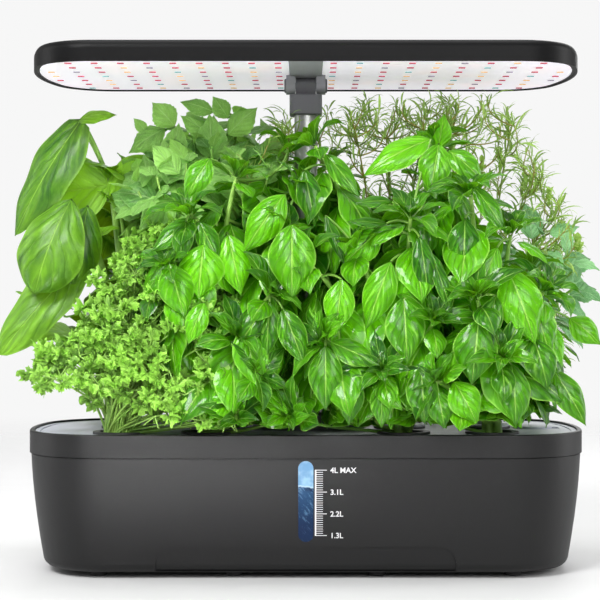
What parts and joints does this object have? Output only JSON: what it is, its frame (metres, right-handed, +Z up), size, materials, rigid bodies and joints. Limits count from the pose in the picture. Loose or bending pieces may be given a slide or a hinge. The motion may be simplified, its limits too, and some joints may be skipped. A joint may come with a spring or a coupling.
{
  "type": "countertop hydroponic garden",
  "caption": "Countertop hydroponic herb garden: dark water reservoir with sight window, lift-off grow deck with net pods and herbs, and a grow lamp tilting on a telescopic pole.",
  "frame": {"origin": "on the resting surface, at the centre of the footprint", "axes": "+X along the tank's length to the right as seen from the front, +Y to the back, +Z up; the sight window faces -Y"},
  "size_m": [0.396, 0.184, 0.3347],
  "materials": {
    "tank_plastic": "matte",
    "window_clear": "gloss",
    "foot_rubber": "matte",
    "deck_plastic": "satin",
    "basket_plastic": "satin",
    "sponge_foam": "matte",
    "cap_plastic": "satin",
    "leaf": "satin",
    "steel": "polished",
    "bush_plastic": "satin",
    "lamp_plastic": "satin",
    "hinge_plastic": "satin",
    "board_white": "satin",
    "heat_aluminium": "satin",
    "chip_red": "gloss",
    "chip_warm": "gloss",
    "chip_teal": "gloss",
    "chip_white": "gloss",
    "board_green": "satin",
    "pump_plastic": "satin",
    "impeller_plastic": "satin",
    "button_plastic": "satin",
    "riser_plastic": "satin"
  },
  "bodies": {
    "reservoir": {"reservoir_tub": "tank_plastic", "sight_window": "window_clear", "reservoir_feet": "foot_rubber"},
    "deck": {"deck_frame": "tank_plastic", "grow_deck": "deck_plastic", "refill_pin": "steel", "planted_baskets": "basket_plastic", "planted_sponges": "sponge_foam", "herb_front_1": "leaf", "herb_front_2": "leaf", "herb_front_3": "leaf", "herb_front_4": "leaf", "herb_back_1": "leaf", "herb_back_2": "leaf", "herb_back_3": "leaf", "herb_back_4": "leaf", "control_housing": "hinge_plastic", "control_board": "board_green", "power_inlet": "bush_plastic", "pole_outer_tube": "steel", "pole_outer_bush": "bush_plastic", "pump_housing": "pump_plastic", "pump_cover": "pump_plastic", "pump_riser": "riser_plastic"},
    "refill_lid": {"refill_cap": "deck_plastic"},
    "impeller": {"pump_impeller": "impeller_plastic"},
    "pole_middle": {"pole_middle_tube": "steel", "pole_middle_bush": "bush_plastic"},
    "pole_inner": {"pole_inner_tube": "steel", "lamp_sleeve": "hinge_plastic", "hinge_pin": "steel"},
    "lamp": {"lamp_spine": "hinge_plastic", "lamp_housing": "lamp_plastic", "light_board": "board_white", "heat_plate": "heat_aluminium", "chips_red": "chip_red", "chips_warm": "chip_warm", "chips_teal": "chip_teal", "chips_white": "chip_white"},
    "spare_pod_1": {"spare_basket_1": "basket_plastic", "spare_sponge_1": "sponge_foam", "spare_cap_1": "cap_plastic"},
    "spare_pod_2": {"spare_basket_2": "basket_plastic", "spare_sponge_2": "sponge_foam", "spare_cap_2": "cap_plastic"},
    "spare_pod_3": {"spare_basket_3": "basket_plastic", "spare_sponge_3": "sponge_foam", "spare_cap_3": "cap_plastic"},
    "spare_pod_4": {"spare_basket_4": "basket_plastic", "spare_sponge_4": "sponge_foam", "spare_cap_4": "cap_plastic"},
    "light_button": {"button_light": "button_plastic"},
    "timer_button": {"button_timer": "button_plastic"},
    "pump_button": {"button_pump": "button_plastic"}
  },
  "joints": [
    {"name": "deck_lift", "type": "slide", "parent": "reservoir", "child": "deck", "axis": [0, 0, 1], "range_m": [0, 0.1]},
    {"name": "pole_middle_slide", "type": "slide", "parent": "deck", "child": "pole_middle", "axis": [0, 0, 1], "range_m": [-0.066, 0], "deforming": ["herb_front_1", "herb_front_2", "herb_front_3", "herb_front_4", "herb_back_1", "herb_back_2", "herb_back_3", "herb_back_4"]},
    {"name": "pole_inner_slide", "type": "slide", "parent": "pole_middle", "child": "pole_inner", "axis": [0, 0, 1], "range_m": [0, 0.06]},
    {"name": "lamp_tilt", "type": "hinge", "parent": "pole_inner", "child": "lamp", "pos_m": [0, 0, 0.3151], "axis": [1, 0, 0], "range_deg": [-15, 15]},
    {"name": "refill_cap_hinge", "type": "hinge", "parent": "deck", "child": "refill_lid", "pos_m": [0.1642, 0, 0.0878], "axis": [0, 1, 0], "range_deg": [0, 100]},
    {"name": "impeller_spin", "type": "hinge", "parent": "deck", "child": "impeller", "pos_m": [-0.144, 0, 0.022], "axis": [0, 1, 0], "continuous": true},
    {"name": "spare_pod_1_lift", "type": "slide", "parent": "deck", "child": "spare_pod_1", "axis": [0, 0, 1], "range_m": [0, 0.06]},
    {"name": "spare_pod_2_lift", "type": "slide", "parent": "deck", "child": "spare_pod_2", "axis": [0, 0, 1], "range_m": [0, 0.06]},
    {"name": "spare_pod_3_lift", "type": "slide", "parent": "deck", "child": "spare_pod_3", "axis": [0, 0, 1], "range_m": [0, 0.06]},
    {"name": "spare_pod_4_lift", "type": "slide", "parent": "deck", "child": "spare_pod_4", "axis": [0, 0, 1], "range_m": [0, 0.06]},
    {"name": "light_button_press", "type": "slide", "parent": "deck", "child": "light_button", "axis": [0, 0, -1], "range_m": [0, 0.001], "stiffness_N_per_m": 300, "springref_m": -0.002},
    {"name": "timer_button_press", "type": "slide", "parent": "deck", "child": "timer_button", "axis": [0, 0, -1], "range_m": [0, 0.001], "stiffness_N_per_m": 300, "springref_m": -0.002},
    {"name": "pump_button_press", "type": "slide", "parent": "deck", "child": "pump_button", "axis": [0, 0, -1], "range_m": [0, 0.001], "stiffness_N_per_m": 300, "springref_m": -0.002}
  ]
}
